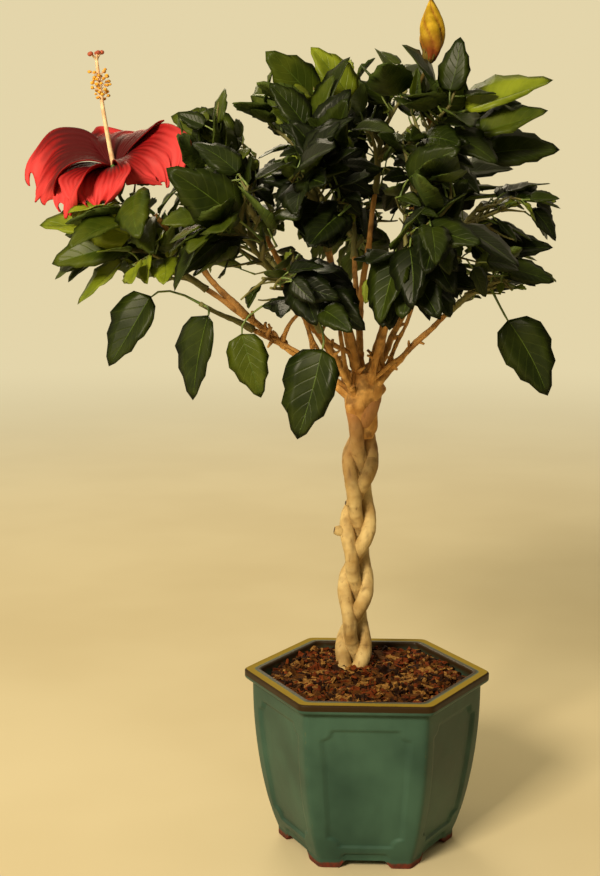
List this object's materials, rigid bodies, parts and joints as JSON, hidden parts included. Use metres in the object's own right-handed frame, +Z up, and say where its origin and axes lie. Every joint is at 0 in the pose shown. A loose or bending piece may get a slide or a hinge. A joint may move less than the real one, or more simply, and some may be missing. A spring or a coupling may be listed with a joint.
{
  "type": "hibiscus bonsai in a pot",
  "caption": "Small plaited-stem hibiscus tree with an open leafy top, a red bloom and a yellow bud, in a six-sided glazed pot on short feet; it decorates a room or shelf.",
  "frame": {"origin": "on the ground under the middle of the pot, on its flat underside", "axes": "+Z up along the trunk, -Y towards the viewer of the picture, +X to that viewer's right"},
  "size_m": [0.3648, 0.2958, 0.598],
  "materials": {
    "glaze": "satin",
    "bark_chips": "matte",
    "bark": "matte",
    "leaf": "satin",
    "petal": "matte",
    "bud": "matte"
  },
  "bodies": {
    "root": {"bough_back": "bark", "bough_back_left": "bark", "bough_back_right": "bark", "bough_back_top": "bark", "bough_bloom": "bark", "bough_bud": "bark", "bough_front": "bark", "bough_front_left": "bark", "bough_front_low": "bark", "bough_front_right": "bark", "bough_left_low": "bark", "bough_left_tip": "bark", "bough_left_top": "bark", "bough_right": "bark", "bough_right_low": "bark", "bough_top_left": "bark", "bough_top_right": "bark", "leaves_back": "leaf", "leaves_back_left": "leaf", "leaves_back_right": "leaf", "leaves_back_top": "leaf", "leaves_front": "leaf", "leaves_front_left": "leaf", "leaves_front_low": "leaf", "leaves_front_right": "leaf", "leaves_left_low": "leaf", "leaves_left_tip": "leaf", "leaves_left_top": "leaf", "leaves_right": "leaf", "leaves_right_low": "leaf", "leaves_top_left": "leaf", "leaves_top_right": "leaf", "pot": "glaze", "red_bloom": "petal", "soil": "bark_chips", "stem_first": "bark", "stem_second": "bark", "stem_third": "bark", "trunk_head": "bark", "yellow_bud": "bud"}
  },
  "joints": []
}
